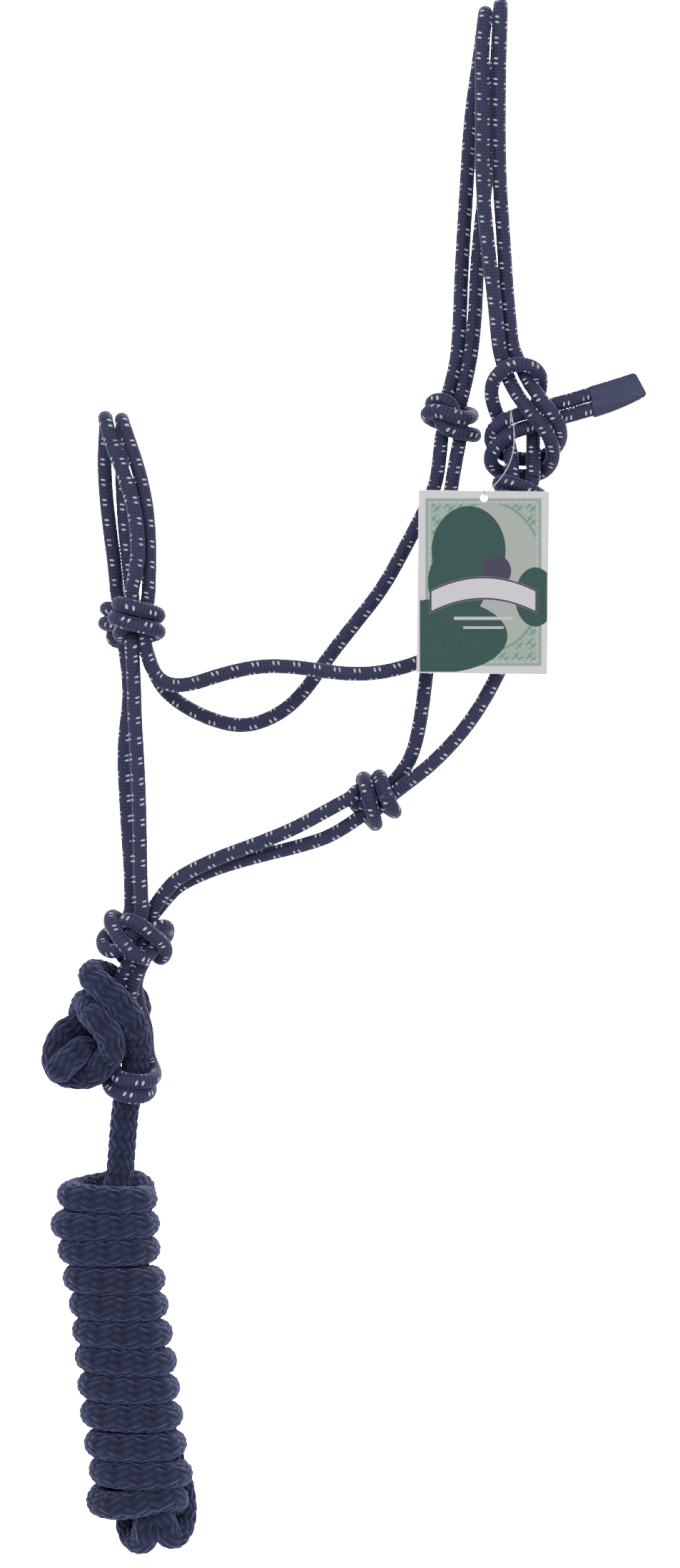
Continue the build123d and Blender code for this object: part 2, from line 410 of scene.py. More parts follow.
class Surface:
    """A material with a Principled shader and the helpers that the patterns need."""

    def __init__(self, name, **constants):
        self.material = bpy.data.materials.new(name)
        self.material.use_nodes = True
        self.tree = self.material.node_tree
        self.shader = self.tree.nodes["Principled BSDF"]
        for socket, value in constants.items():
            self.shader.inputs[socket.replace("_", " ")].default_value = value

    def numbers(self, node_type, output, **settings):
        node = self.tree.nodes.new(node_type)
        for key, value in settings.items():
            setattr(node, key, value)
        split = self.tree.nodes.new("ShaderNodeSeparateXYZ")
        self.tree.links.new(node.outputs[output], split.inputs[0])
        return [Number(self.tree, socket) for socket in split.outputs]

    def along_rope(self):
        """Turns round the rope and millimetres along it."""
        around, along, _ = self.numbers("ShaderNodeUVMap", "UV", uv_map="rope")
        return around, along * 1000.0

    def noise(self, scale, detail=3.0):
        node = self.tree.nodes.new("ShaderNodeTexNoise")
        node.inputs["Scale"].default_value = scale
        node.inputs["Detail"].default_value = detail
        coordinates = self.tree.nodes.new("ShaderNodeTexCoord")
        self.tree.links.new(coordinates.outputs["Object"], node.inputs["Vector"])
        return Number(self.tree, node.outputs["Fac"])

    def blend(self, factor, low, high):
        """A colour between low and high, which are colours or earlier blends."""
        node = self.tree.nodes.new("ShaderNodeMix")
        node.data_type = "RGBA"
        self.tree.links.new(factor.socket, node.inputs["Factor"])
        for name, colour in (("A", low), ("B", high)):
            slot = [s for s in node.inputs if s.name == name and s.type == "RGBA"][0]
            if isinstance(colour, tuple):
                slot.default_value = (*colour, 1)
            else:
                self.tree.links.new(colour, slot)
        return [s for s in node.outputs if s.type == "RGBA"][0]

    def set(self, socket, value):
        self.tree.links.new(getattr(value, "socket", value), self.shader.inputs[socket])

    def bump(self, height, distance, strength=1.0):
        node = self.tree.nodes.new("ShaderNodeBump")
        node.inputs["Strength"].default_value = strength
        node.inputs["Distance"].default_value = distance
        self.tree.links.new(height.socket, node.inputs["Height"])
        self.tree.links.new(node.outputs["Normal"], self.shader.inputs["Normal"])


# ------------------------------------------------ materials

FLECK_PERIOD = 11.1  # millimetres from one pair of flecks to the next
FLECK_ROWS = 4
FLECK_SHIFT = 2.5  # how far a row is ahead of its neighbour
FLECK_LEAN = 0.36
FLECK_HALF_GAP = 1.35  # from the middle of a pair to the middle of each fleck
FLECK_SIZE = (1.4, 0.52)  # half width round the rope, half length along it
ROPE_AROUND = math.pi * ROPE / MM


def halter_rope_material():
    """Tight dark sheath with pairs of white tracer flecks in rows along the rope."""
    s = Surface("halter_rope", Specular_IOR_Level=0.2, Sheen_Weight=0.35, Sheen_Roughness=0.35)
    s.shader.inputs["Sheen Tint"].default_value = (0.5, 0.48, 1, 1)
    around, along = s.along_rope()
    cell = around * FLECK_ROWS
    across = (cell.fraction() - 0.5) * (ROPE_AROUND / FLECK_ROWS)
    row = cell.floor()
    odd = (row / 2).fraction() * 2
    lean = (odd - 0.5) * FLECK_LEAN
    place = along + odd * FLECK_SHIFT + across * lean
    beside = (place / FLECK_PERIOD).fraction() * FLECK_PERIOD - FLECK_PERIOD / 2
    from_dash = beside.size() - FLECK_HALF_GAP
    oval = (across / FLECK_SIZE[0]).power(2) + (from_dash / FLECK_SIZE[1]).power(2)
    uneven = s.noise(160, 2)
    fleck = oval.step(1.25, 0.55) * uneven.step(0.22, 0.5)
    spiral = around * (2 * math.pi * SHEATH_LOOPS)
    run = along * (math.pi / SHEATH_STEP)
    plait = (spiral + run).sine() * (spiral - run).sine()
    yarns = (around * (2 * math.pi * 32) + along * 3.0).sine()
    wear = s.noise(35, 4)
    # Painted shade: the sheath's colour is darker in the hollows of its plait and lighter on its tops; the
    # wear noise varies the tone at random.
    painted_shade_and_wear = (plait * 0.5 + 0.5) * 0.7 + wear * 0.5
    dark = s.blend(painted_shade_and_wear.step(0.0, 1.3), (0.0056, 0.0054, 0.0185), (0.0200, 0.0197, 0.0540))
    s.set("Base Color", s.blend(fleck, dark, (0.42, 0.40, 0.44)))
    s.set("Roughness", (wear * 0.2 + 0.5) + fleck * 0.1)
    s.bump(plait * 0.5 + fleck * 0.8 + yarns * 0.12, 0.22 * MM)
    return s.material


BRAID = 12  # strands that run each way round the lead rope
BRAID_STEP = 5.6  # millimetres from one strand to the next along the rope
BRAID_HEIGHT = 0.9 * MM
REPEAT = 4  # strands that one strand crosses before its over and under repeat


def lead_relief(turns, along):
    """Height of the lead rope's braid: strands that run both ways round it, each over two and under two."""
    p = BRAID * turns + along * 1000 / BRAID_STEP
    q = BRAID * turns - along * 1000 / BRAID_STEP
    row, column = np.floor(p), np.floor(q)
    over = np.mod(column - row, REPEAT) < REPEAT / 2
    across = np.where(over, p - row, q - column) * 2 - 1
    length = np.where(over, np.mod(q - row, REPEAT) - 1, np.mod(p - column, REPEAT) - 2)
    height = (1 - across**2) * (1 - 0.8 * np.abs(length) ** 3)
    return BRAID_HEIGHT * (height - 0.5)


def lead_rope_material():
    """Coarse braid: thick soft strands over two and under two, with fine yarns, and painted shade that
    darkens the gaps between them.
    """
    s = Surface("lead_rope", Specular_IOR_Level=0.15, Sheen_Weight=0.35, Sheen_Roughness=0.4)
    s.shader.inputs["Sheen Tint"].default_value = (0.5, 0.5, 1, 1)
    around, along = s.along_rope()
    p = around * BRAID + along / BRAID_STEP
    q = around * BRAID - along / BRAID_STEP
    row, column = p.floor(), q.floor()
    under = ((column - row) / REPEAT).fraction().step(0.49, 0.51)

    def choose(one, other):
        return one + (other - one) * under

    across = choose(p - row, q - column) * 2 - 1
    length = choose(
        ((q - row) / REPEAT).fraction() * REPEAT - 1, ((p - column) / REPEAT).fraction() * REPEAT - 2
    )
    ridge = (1 - across.power(2)) * (1 - length.size().power(3) * 0.8)
    yarns = (across * 11 + length * under).sine()
    wear = s.noise(45, 4)
    fluff = s.noise(420, 3)
    # Painted shade: the colour is darker in the gaps between strands, where a strand dips under the next and
    # in the fine grooves between yarns, and lighter on the ridges; the wear and fluff noise vary the tone at
    # random.
    light = ridge * 0.5 + wear * 0.4 + yarns * 0.05 + fluff * 0.35
    painted_shade_and_wear = light.step(0.15, 1.1)
    s.set("Base Color", s.blend(painted_shade_and_wear, (0.0038, 0.0038, 0.0128), (0.0155, 0.0158, 0.0420)))
    s.set("Roughness", wear * 0.2 + 0.65)
    s.bump(ridge * 0.5 + yarns * 0.16 + fluff * 0.2, 0.6 * MM)
    return s.material


def sleeve_material():
    """Smooth dark plastic with a little wear."""
    s = Surface("tail_sleeve", Specular_IOR_Level=0.3)
    wear = s.noise(90, 5)
    s.set("Base Color", s.blend(wear, (0.0088, 0.0085, 0.0300), (0.0165, 0.0160, 0.0470)))
    s.set("Roughness", wear * 0.25 + 0.32)
    s.bump(wear, 0.3 * MM, 0.5)
    return s.material


def string_material():
    """Pale twisted thread, with painted shade in the grooves of its twist."""
    s = Surface("tag_string", Roughness=0.4)
    around, along = s.along_rope()
    twist = (around * (2 * math.pi * 3) + along * 4.0).sine()
    # Painted shade: the thread's colour is darker in the grooves of its twist and lighter on its plies.
    s.set("Base Color", s.blend(twist * 0.5 + 0.5, (0.26, 0.25, 0.29), (0.42, 0.41, 0.46)))
    s.bump(twist, 0.08 * MM)
    return s.material


CARD = (-6.3, -306.6)  # the card's middle, across and up


def card_material():
    """A printed card of a generic design, in millimetres from its middle: a pale border, a panel with
    scrollwork, dark hills, a disc, two rules and a blank ribbon."""
    s = Surface("tag_card", Specular_IOR_Level=0.25)
    x, y, z = s.numbers("ShaderNodeTexCoord", "Object")
    x, z = x * 1000 - CARD[0], z * 1000 - CARD[1]
    fibre = s.noise(900, 3)

    def inside(half_x, half_z, edge=0.12):
        return (x.size() - half_x).most(z.size() - half_z).step(edge, -edge)

    def disc(cx, cz, rx, rz, edge=0.012):
        r = ((x - cx) / rx).power(2) + ((z - cz) / rz).power(2)
        return r.step(1 + edge, 1 - edge)

    panel = inside(31.3, 45.2)
    frame = panel - inside(29.7, 43.6)
    stitches = ((x.size() - 29.2).most(z.size() - 43.1)).size().step(0.55, 0.25)
    stitches = stitches * ((x + z) * 1.9).sine().step(-0.2, 0.3)
    curl = (x * 0.85 + (z * 0.85).sine() * 1.9).sine() + (z * 0.85 + (x * 0.85).sine() * 1.9).sine()
    scroll = curl.size().step(0.34, 0.16) * (1 - disc(3, 3, 30, 40, 0.1)) * inside(28.2, 42)
    rim = disc(3, 3, 30.6, 40.8) - disc(3, 3, 29.4, 39.4)
    hills = disc(-8, 17, 20, 24).most(disc(-24, -29, 37, 20))
    hills = hills.most(disc(28, -8, 11, 16)).most(disc(-14, 0, 16, 20)) * inside(34.4, 48.4)
    bow = z + x.power(2) * 0.009 + 3.2
    ribbon = bow.size().step(6.4, 6.1) * x.size().step(29.2, 29.0)
    edge = ribbon - bow.size().step(5.3, 5.0) * x.size().step(28.0, 27.8)
    upper_rule = (z + 19.5).size().step(0.9, 0.7) * x.size().step(16, 15.7)
    lower_rule = (z + 24.5).size().step(0.7, 0.5) * x.size().step(11, 10.7)
    rules = upper_rule.most(lower_rule)
    spot = disc(7, 6, 8, 8.5)
    pale, sage, green = (0.62, 0.58, 0.62), (0.175, 0.27, 0.2), (0.0065, 0.031, 0.0255)
    colour = s.blend(panel, pale, sage)
    colour = s.blend(disc(3, 3, 30, 40, 0.25) * panel, colour, (0.215, 0.25, 0.21))
    colour = s.blend(frame * 0.8, colour, (0.13, 0.18, 0.15))
    colour = s.blend(stitches * 0.7, colour, (0.42, 0.5, 0.43))
    colour = s.blend((scroll * 0.75).most(rim * 0.7 * inside(28.2, 42)), colour, (0.04, 0.1, 0.065))
    colour = s.blend(hills, colour, green)
    colour = s.blend(spot, colour, (0.022, 0.015, 0.032))
    colour = s.blend(ribbon, colour, (0.55, 0.5, 0.56))
    colour = s.blend(edge, colour, (0.02, 0.015, 0.03))
    colour = s.blend(rules * 0.85, colour, (0.4, 0.42, 0.44))
    # Only its front is printed
    _, facing, _ = s.numbers("ShaderNodeNewGeometry", "Normal")
    colour = s.blend(facing.step(-0.4, -0.6), (0.6, 0.58, 0.6), colour)
    s.set("Base Color", s.blend(fibre.step(0.3, 0.9) * 0.015, colour, (0.5, 0.5, 0.5)))
    s.set("Roughness", fibre * 0.15 + 0.38)
    s.bump(fibre, 0.03 * MM, 0.4)
    return s.material


halter_material = halter_rope_material()
lead_material = lead_rope_material()


# ------------------------------------------------ halter ropes

HALTER_SIDES = 32
RING = 0.48 * MM  # from one ring of a halter rope's mesh to the next


def halter_piece(name, ropes, nodes, body="halter"):
    mesh = rope_mesh(name, ropes, ROPE, HALTER_SIDES, sheath_relief)
    return add_piece(name, mesh, halter_material, body, nodes)


def declare_cord(rope, length=None):
    tuple(rope.line[0])
    length or round(rope.length(), 3)


ropes = {name: Rope(smooth_line(metres(points), RING)) for name, (points, _) in ROUTES.items()}


def halter_ropes():
    """The halter's ropes from knot to knot, each in the place of its CAD tube."""
    for name, (_, length) in ROUTES.items():
        folds = name.startswith("noseband")
        piece = halter_piece(
            "rope_" + name.removesuffix("_rope"), [ropes[name]], [name], None if folds else "halter"
        )
        if folds:
            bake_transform(piece)
        declare_cord(ropes[name], length=length * MM)


halter_ropes()


# ------------------------------------------------ knots

LEAD_IN = 10  # rings from a rope's end back to where its way into a knot starts
LAP = 24  # rings of a strand that a knot's rope is smoothed together with
TRIM = 3  # points dropped from a tied line's ends, where they lie over the strands
SETTLE = 60  # rounds of smoothing where a knot's rope and its strands run together


def rope_end(name, at_start):
    """A rope's way into a knot: a point a little before its end, its end, and one straight on."""
    line = ropes[name].line if at_start else ropes[name].line[::-1]
    return [line[LEAD_IN], line[0], line[0] + (line[0] - line[LEAD_IN]) * 0.7]


def ease_in(line):
    """Lets a knot's rope leave the strand before it in the strand's own direction."""
    steps = np.arange(1, LAP + 1)[:, None]
    straight = line[LAP] + (line[LAP] - line[LAP - 1]) * steps
    line[LAP + 1 : 2 * LAP + 1] += (1 - steps / LAP) ** 3 * (straight - line[LAP + 1 : 2 * LAP + 1])


def run_on(line, before, after=None):
    """Smooths a knot's rope together with the strands before and after it, and keeps the knot's part.
    A strand is its line, its crosswise directions, and how far along its rope it meets the knot."""
    line = smoothed(line, 3)
    parts = [before[0][-LAP - 1 :], line[TRIM:-TRIM] if after else line[TRIM:]]
    if after:
        parts.append(after[0][: LAP + 1])
    whole = evenly(np.concatenate(parts), RING)
    start, end = LAP, len(whole) - 1 - (LAP if after else 0)
    for _ in range(SETTLE):
        beside = whole[start - 1 : end - 1] + whole[start + 1 : end + 1]
        whole[start:end] = 0.5 * whole[start:end] + 0.25 * beside
    ease_in(whole)
    if after:
        ease_in(whole[::-1])
    offset = float(before[2] - LAP * RING)
    return Rope(whole, before[1][-LAP - 1], after[1][LAP] if after else None, offset).part(start, end)


def strand(name, at_start, into):
    """A strand's line and crosswise directions, into a knot or out of it, and where it meets the knot."""
    rope = ropes[name]
    turned = at_start == into
    order = slice(None, None, -1) if turned else slice(None)
    return rope.line[order], rope.normals[order], rope.along[0 if at_start else -1]


def tie(name, routes, ends, rounds, pull=0.3):
    """Ties a knot from rough routes and puts it in the place of its CAD solid."""
    lines = []
    for route, (top, bottom) in zip(routes, ends):
        lines.append(evenly(rope_end(*top) + route + rope_end(*bottom)[::-1], ROPE / 3))
    lines = pull_tight(lines, [ROPE] * len(lines), rounds, pull, pinned=4)
    tied = []
    for line, (top, bottom) in zip(lines, ends):
        tied.append(run_on(line, strand(*top, True), strand(*bottom, False)))
    halter_piece("tied_" + name, tied, [name])


def knot_frame(middle, axis, phase, hand):
    """A function from a radius and height in rope diameters, and an angle, to a place round a knot's axis."""
    up = Vector(axis).normalized()
    side = up.cross(Vector((0, -1, 0))).normalized()
    across = np.array([side[:], side.cross(up)[:], up[:]])

    def at(radius, degrees, height):
        angle = math.radians(phase + hand * degrees)
        local = np.array([radius * math.cos(angle), radius * math.sin(angle), height]) * ROPE
        return np.array(middle) * MM + local @ across

    return at


def barrel_knot(name, middle, axis, tops, bottoms, phase=150, hand=1):
    """A double overhand knot. The first rope goes down its middle, twice round it from the bottom up and down
    through it again, and the second goes straight through."""
    at = knot_frame(middle, axis, phase, hand)
    core = 0.62  # from the knot's axis to the ropes in its middle, in rope diameters
    own = [at(core, 0, 1.2), at(core, 0, 0), at(core, 0, -0.9), at(1.0, 5, -1.5), at(1.6, 20, -1.5)]
    steps = 25
    own += [at(1.75, 40 + 760 * i / steps, -1.2 + 2.4 * i / steps) for i in range(steps + 1)]
    own += [at(1.5, 95, 1.6), at(1.0, 110, 1.6), at(core, 120, 1.0), at(core, 120, 0), at(core, 120, -1.2)]
    through = [at(core, 240, 1.2), at(core, 240, 0), at(core, 240, -1.2)]
    tie(name, [own, through], list(zip(tops, bottoms)), rounds=260)


barrel_knot(
    "off_cheek_knot", (-21.5, 10, -215.7), (0.05, 0, 1),
    [("crown_left_rope", True), ("crown_right_rope", True)],
    [("off_cheek_rope", True), ("off_throat_rope", True)], hand=-1,
)
barrel_knot(
    "near_nose_knot", (-193.4, -17, -327.6), (0, 0, 1),
    [("noseband_outer_rope", True), ("noseband_inner_rope", True)],
    [("near_chin_rope", True), ("near_cheek_rope", True)],
)
barrel_knot(
    "off_nose_knot", (-199.5, 17, -328.5), (0, 0, 1),
    [("noseband_outer_rope", False), ("noseband_inner_rope", False)],
    [("off_chin_rope", True), ("off_cheek_rope", False)],
)
barrel_knot(
    "throat_knot", (-64.8, 0, -424.2), (0.8, 0, 0.6),
    [("off_throat_rope", False), ("near_throat_rope", False)],
    [("fiador_upper_rope", True), ("fiador_lower_rope", True)],
)

# ------------------------------------------------ crown hitch, tails and near cheek knot

EYE_LOOP = [
    (10.1, -9, -249), (10.1, -9, -241), (9, -5, -231), (6.6, -2, -223), (3.1, -2, -216.5),
    (-0.4, -5, -208.7), (-2, -9, -201.6), (-1.2, -12, -196.6), (1.6, -15, -192.7), (5.5, -17, -189.2),
    (10.5, -18, -187.2), (17.2, -18, -187.2), (23, -15, -189.2), (25.7, -10, -193.8), (25.7, -5, -199.7),
    (24.6, -2, -205.5), (23, -1, -213.3), (21.8, -1, -221), (21.7, -3, -229), (21.7, -6, -238.7),
    (21.5, -9, -249),
]
LEFT_END = [
    (4.5, -9, -186), (8, -9, -195), (11.5, -12, -202.5), (16, -16, -209.4), (20.8, -17, -214.8),
    (25.3, -17, -219.5), (29, -16, -224.5), (31.8, -13, -230), (33.2, -8, -236), (32, -1, -241.5),
    (28, 5, -245.8), (21, 7.5, -247), (12, 7.5, -247), (3, 5, -245.5), (-2.5, -1, -241.5), (-2.5, -7, -235),
    (3, -10, -227.4), (9.4, -9.5, -223.6), (17, -8.5, -221), (24, -8, -219), (30.8, -7.5, -217.6),
    (37, -7, -216), (48, -7, -212.9), (59.2, -7, -209.6),
]
RIGHT_END = [
    (13, -7, -184), (17, -9, -192), (20.5, -12, -198.5), (23.4, -16, -204.4), (27.5, -17, -209.5),
    (31.6, -17, -214.1), (35, -15, -219), (37, -10, -223.5), (37, -3, -228), (34.5, 4, -232.5),
    (29, 7.5, -236.5), (21, 8.5, -238), (12, 8, -237.5), (3.5, 5, -234.5), (-2, -0.5, -230),
    (-2, -6, -225.5), (1.2, -9.5, -220.5), (5.5, -10, -217.3), (12, -9, -215.3), (19, -8.5, -213.2),
    (27, -7.5, -210.5), (35, -7, -208.3), (46, -7, -205.2), (57, -7, -201.8),
]
TAIL = 51.5 * MM  # length of a cut end, from the hitch


def crown_hitch():
    """The sheet bend: the near side's eye loop, with the crown's two ends round its neck and out as tails."""
    lines = []
    for name, route in (("crown_left_rope", LEFT_END), ("crown_right_rope", RIGHT_END)):
        line = smooth_line(np.array([*rope_end(name, False), *metres(route)]), 1 * MM)
        lines.append(evenly(line, ROPE / 3))
    lines.append(evenly(smooth_line(metres(EYE_LOOP), 1 * MM), ROPE / 3))
    left, right, eye = pull_tight(lines, [ROPE] * 3, 30, pull=0.05, pinned=3)
    eye = Rope(smoothed(evenly(smoothed(eye, 3), RING), 20))
    ropes["eye_loop_rope"] = eye
    held, tails = [], []
    for name, line in (("crown_left_rope", left), ("crown_right_rope", right)):
        rope = run_on(line, strand(name, False, True))
        split = int(np.argmin(np.abs(rope.along - rope.along[-1] + TAIL)))
        held.append(rope.part(0, split))
        tails.append(rope.part(split, len(rope.line) - 1))
    halter_piece("tied_crown_hitch", held, ["crown_hitch_knot"])
    loop = halter_piece("rope_eye_loop", [eye], ["eye_loop_rope"])
    declare_cord(eye)
    for side, rope in zip(("lower", "upper"), tails):
        tail = halter_piece(f"rope_tail_{side}", [rope], [f"tail_{side}_rope"], None)
        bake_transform(tail)
        declare_cord(rope)


crown_hitch()
barrel_knot(
    "near_cheek_knot", (15.2, -9, -261.7), (-0.1, 0, 1),
    [("eye_loop_rope", True), ("eye_loop_rope", False)],
    [("near_cheek_rope", False), ("near_throat_rope", True)],
)

# ------------------------------------------------ fiador knot and its loops

UPPER_LOOP = [
    (-199.5, -3, -514), (-204, -1, -523), (-206, 1, -533), (-206.5, 5, -546), (-209, 6, -560),
    (-210, 0, -571), (-206, -9, -576), (-198, -12.5, -577), (-190, -12, -578), (-183.7, -5, -577),
    (-184.3, 5, -573), (-190.5, 13, -567), (-194, 14, -558), (-195, 12.5, -547), (-196, 9, -536),
    (-197.5, 6, -526), (-193, 5, -516),
]
LOWER_LOOP = [
    (-192, -3, -514.5), (-198.5, -1.5, -524), (-200, 1, -534), (-201, 8, -546), (-205, 13, -558),
    (-211, 8, -572), (-211, -1, -579.5), (-206, -8, -583), (-200.5, -12, -585.2), (-194.5, -13, -586.3),
    (-188.4, -7, -586), (-188, 2, -583), (-192.5, 11, -576), (-197, 14, -562), (-198.5, 12, -548),
    (-201, 10, -536), (-203, 8, -526), (-198, 5.5, -515),
]
# The lead rope from its drop up through the loops, across the halter's neck, behind it and to the stopper
LEAD_HITCH = [
    (-202.6, 1, -611), (-201.8, 1, -600), (-200.9, 1, -590), (-199.5, 1.5, -580), (-196.5, 1.5, -570),
    (-193.4, 1, -561), (-193.4, -3, -553), (-195.5, -9, -546), (-199, -13, -539), (-204.5, -14, -532),
    (-211, -13.5, -527), (-218.5, -9, -522.5), (-221.7, -1, -518.3), (-217, 9, -517.3), (-208, 17, -523),
    (-199, 20, -529), (-193.5, 20.5, -536), (-193.5, 21, -543), (-200, 21, -549.5), (-208, 19, -550.5),
    (-215, 14, -549), (-222, 9, -547), (-229, 4, -549), (-235.5, 0, -555), (-240.3, -2, -563.5),
    (-241, -2.5, -571.5), (-235, -2.5, -576), (-227, -2, -571.5), (-219, -2, -571), (-212, -4, -570.5),
    (-207, -8, -565), (-206.5, -13, -556.5), (-209.5, -17, -549), (-213.5, -18, -544.5),
    (-217.5, -14, -541.5), (-220.5, -6, -540.8), (-222.5, 3, -541.8), (-223, 13, -544.5), (-223, 16, -550),
    (-222, 11, -557), (-221, 1, -562), (-224.5, -9, -562.5), (-230.5, -14.5, -564.5), (-236.5, -15.5, -570),
    (-240.3, -15, -575.5),
]


def fiador():
    """The four-strand knot under the jaw and the doubled loop that the lead rope is tied through.
    It gives back the lead rope's line, drawn in with the loops."""
    upper, lower = [Rope(smooth_line(metres(route), RING)) for route in (UPPER_LOOP, LOWER_LOOP)]
    lead = smooth_line(metres(LEAD_HITCH), 1 * MM)
    lines = [evenly(upper.line, 3 * MM), evenly(lower.line, 3 * MM), evenly(lead, 3 * MM)]
    upper, lower, lead = pull_tight(lines, [ROPE, ROPE, LEAD], 40, pull=0.05, pinned=5)
    for name, line in (("upper_loop", upper), ("lower_loop", lower)):
        ropes[name] = Rope(smoothed(evenly(smoothed(line, 4), RING), 20))
    for name, nodes in (
        ("upper_loop", ["fiador_neck_left_rope", "fiador_loop_rope"]),
        ("lower_loop", ["fiador_neck_right_rope"]),
    ):
        loop = halter_piece("rope_" + name, [ropes[name]], nodes)
        declare_cord(ropes[name])
    at = knot_frame((-195.5, 0, -500.5), (0.2, 0, 1), 0, 1)
    routes = []
    for k in range(4):
        a = 92 + 90 * k
        # Down the middle, out under its neighbour, up and over the next one, and down the middle again
        routes.append([
            at(0.9, a + 4, 0.3), at(1.1, a + 18, -0.8), at(1.5, a + 40, -1.25), at(2.0, a + 65, -1.2),
            at(2.25, a + 90, -0.8), at(2.2, a + 112, -0.1), at(2.1, a + 135, 0.6), at(2.05, a + 160, 1.05),
            at(1.9, a + 185, 1.2), at(1.45, a + 208, 1.35), at(0.95, a + 226, 1.1), at(0.6, a + 240, 0.3),
            at(0.55, a + 252, -0.7), at(0.65, a + 262, -1.6),
        ])
    tops = [
        ("near_chin_rope", False), ("off_chin_rope", False),
        ("fiador_lower_rope", False), ("fiador_upper_rope", False),
    ]
    bottoms = [("lower_loop", True), ("upper_loop", True), ("lower_loop", False), ("upper_loop", False)]
    tie("fiador_knot", routes, list(zip(tops, bottoms)), rounds=45, pull=0.08)
    return lead


lead_line = fiador()

# ------------------------------------------------ lead rope

LEAD_RING = 1.1 * MM  # from one ring of the lead rope's mesh to the next
LEAD_SIDES = 66
WRAP_POINTS = 8  # for each half of a wrap
WRAP_DEPTH = 19.6
# Each wrap of the hank: its left end and its right end, across and up
WRAPS = [
    ((-231.4, -639.6), (-190.4, -641.9)), ((-234.9, -655.8), (-189.1, -655.4)),
    ((-231.0, -669.7), (-188.8, -669.2)), ((-228.1, -684.7), (-186.0, -685.9)),
    ((-224.8, -699.0), (-184.3, -699.9)), ((-223.1, -713.6), (-182.0, -715.2)),
    ((-221.6, -727.8), (-179.7, -730.4)), ((-220.2, -743.1), (-178.1, -745.0)),
    ((-218.8, -758.5), (-176.3, -760.0)), ((-216.5, -775.1), (-174.4, -775.6)),
    ((-214.0, -789.8), (-170.6, -791.3)),
]
LAST_WRAP = [
    (-206, 13, -801), (-213.5, 7, -804.5), (-215.6, 0, -806.5), (-213.5, -8, -807.5), (-206, -15, -807.5),
    (-196, -18.5, -806), (-186, -18, -803.5), (-178, -14, -802.5), (-173, -7, -804), (-174, 0, -808),
    (-182, 3, -811),
]
CORE = [
    (-203.2, 0.5, -619), (-203.8, -2, -629), (-207, -6, -641), (-209, -6.5, -660), (-203, -6.5, -700),
    (-197, -6.5, -745), (-191, -7, -785), (-188.5, -10, -808), (-188.8, -11, -820), (-190.5, -6, -828.3),
    (-196, 1, -828.2), (-199.8, 7, -821), (-198, 9, -808), (-195, 7, -790), (-203, 6.5, -745),
    (-209, 6.5, -700), (-214, 6.5, -665), (-212, 6.5, -652), (-206, 6.5, -647), (-200, 6.5, -652),
    (-197, 6.5, -672), (-191, 6.5, -710), (-185, 6.5, -750), (-177, 7.5, -785), (-171, 7, -799),
    (-169.3, 5, -811), (-170, 1, -821), (-174.5, -5, -826.6), (-178.5, -9, -822), (-181.5, -11, -812),
    (-183, -9, -799), (-182, -7, -780), (-188, -6.5, -745), (-194, -6.5, -705), (-198, -6, -670),
    (-197.5, -4, -654), (-194.5, 0, -643), (-191, 6, -637.5), (-195, 14, -635),
]


def half_wrap(start, end, depth, first=0):
    """Points along half a wrap, bulging out by depth. first is the number of the first point kept."""
    route = []
    for i in range(first, WRAP_POINTS):
        angle = math.pi * i / WRAP_POINTS
        share = (1 - math.cos(angle)) / 2
        across, up = (a + (b - a) * share for a, b in zip(start, end))
        route.append((across, depth * math.sin(angle) ** 0.8, up))
    return route


def hank_route():
    """The lead rope's drop, its four runs inside the hank and the wraps round them, as one route."""
    route = [(-202.6, 1, -611), *CORE]
    last, first = (-190.4, -632.0), 3  # the core runs into the first wrap part of the way along
    for left, right in WRAPS:
        route += half_wrap(last, left, WRAP_DEPTH, first)  # behind
        route += half_wrap(left, right, -WRAP_DEPTH)  # in front
        last, first = right, 0
    route += [(last[0], 0, last[1]), (-177, 12, -795), (-190, 18, -798), *LAST_WRAP]
    return metres(route)


def lead_piece(name, rope, nodes, body=None, rounded=0.0):
    mesh = rope_mesh(name, [rope], LEAD, LEAD_SIDES, lead_relief, rounded)
    return add_piece(name, mesh, lead_material, body, nodes)


def lead_rope():
    """The stopper knot, the hitch and the drop, and the hank, as one rope in three pieces."""
    hitch = Rope(smoothed(evenly(smoothed(lead_line[::-1], 3), LEAD_RING), 12))
    # The stopper ends where the rope is behind the halter's neck
    behind = (hitch.line[:, 1] > 19.5 * MM) & (hitch.line[:, 2] < -546 * MM)
    split = int(np.argmax(behind))
    lead_piece("tied_stopper", hitch.part(0, split), ["lead_stopper_knot"], "halter", rounded=6 * MM)
    hitch = hitch.part(split, len(hitch.line) - 1)
    piece = lead_piece("rope_lead_hitch", hitch, ["lead_hitch_rope", "lead_drop_rope"])
    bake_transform(piece)
    declare_cord(hitch)
    line = smooth_line(hank_route(), LEAD_RING)
    line = np.concatenate([[hitch.line[-1]], smoothed(line, 4)[1:]])
    hank = Rope(line, hitch.normals[-1], offset=float(hitch.along[-1]))
    coil = lead_piece("rope_lead_hank", hank, ["lead_hank"])
    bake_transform(coil)
    declare_cord(hank)


lead_rope()

# ------------------------------------------------ tail sleeve

TAIL_FOOT = np.array([35, -7, -212.4]) * MM
TAIL_SLOPE = math.radians(15.7)
SLEEVE_START = 19.2  # millimetres from the tail's foot
SLEEVE_LENGTH = 28.5
SLEEVE_SIDES, SLEEVE_RINGS = 96, 90


